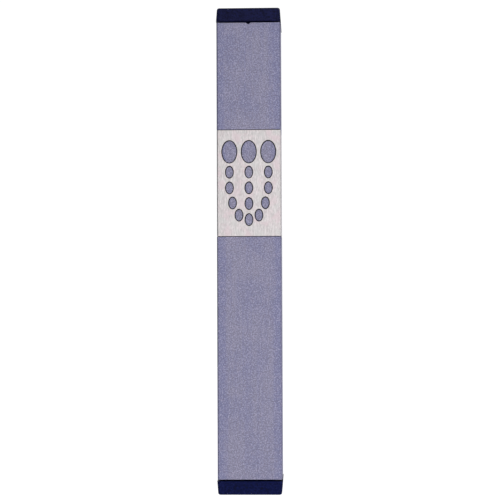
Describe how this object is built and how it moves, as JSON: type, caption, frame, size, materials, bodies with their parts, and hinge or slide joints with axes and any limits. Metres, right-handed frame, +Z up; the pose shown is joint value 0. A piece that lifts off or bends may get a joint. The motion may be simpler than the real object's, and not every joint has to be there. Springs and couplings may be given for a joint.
{
  "type": "mezuzah case",
  "caption": "Slim upright square metal case with push-in end caps and a perforated band, which slides onto a rail screwed to a doorpost and holds a rolled blank parchment in a clear sleeve.",
  "frame": {"origin": "middle of the wall rail's back face, on the doorpost's surface, half way up the case and half way across it", "axes": "+X to the right as one looks at the front of the case, +Y out of the back of the case into the doorpost, +Z up the case's length"},
  "size_m": [0.0204, 0.0324, 0.1512],
  "materials": {
    "anodised_aluminium": "satin lavender anodising, fine bead-blasted grain",
    "brushed_band": "vertical brushing",
    "black_adhesive": "matt black bonding film",
    "navy_plastic": "fine moulded texture, satin",
    "plain_aluminium": "mill finish with drawing lines",
    "zinc_screws": "bright zinc plate",
    "parchment": "matt scraped skin, blank",
    "clear_film": "clear film"
  },
  "bodies": {
    "wall_mount": {"wall_rail": "plain_aluminium", "upper_screw": "zinc_screws", "lower_screw": "zinc_screws"},
    "case": {"case_shell": "anodised_aluminium", "adhesive_film": "black_adhesive", "perforated_band": "brushed_band"},
    "top_cap": {"top_cap": "navy_plastic"},
    "bottom_cap": {"bottom_cap": "navy_plastic"},
    "scroll": {"parchment_scroll": "parchment", "scroll_sleeve": "clear_film"}
  },
  "joints": [
    {"name": "case_lift", "type": "slide", "parent": "wall_mount", "child": "case", "axis": [0, 0, 1], "range_m": [0, 0.132]},
    {"name": "top_cap_pull", "type": "slide", "parent": "case", "child": "top_cap", "axis": [0, 0, 1], "range_m": [-0.0003, 0.03]},
    {"name": "bottom_cap_pull", "type": "slide", "parent": "case", "child": "bottom_cap", "axis": [0, 0, -1], "range_m": [-0.0004, 0.116]},
    {"name": "scroll_lift", "type": "slide", "parent": "bottom_cap", "child": "scroll", "axis": [0, 0, 1], "range_m": [0, 0.018]}
  ]
}
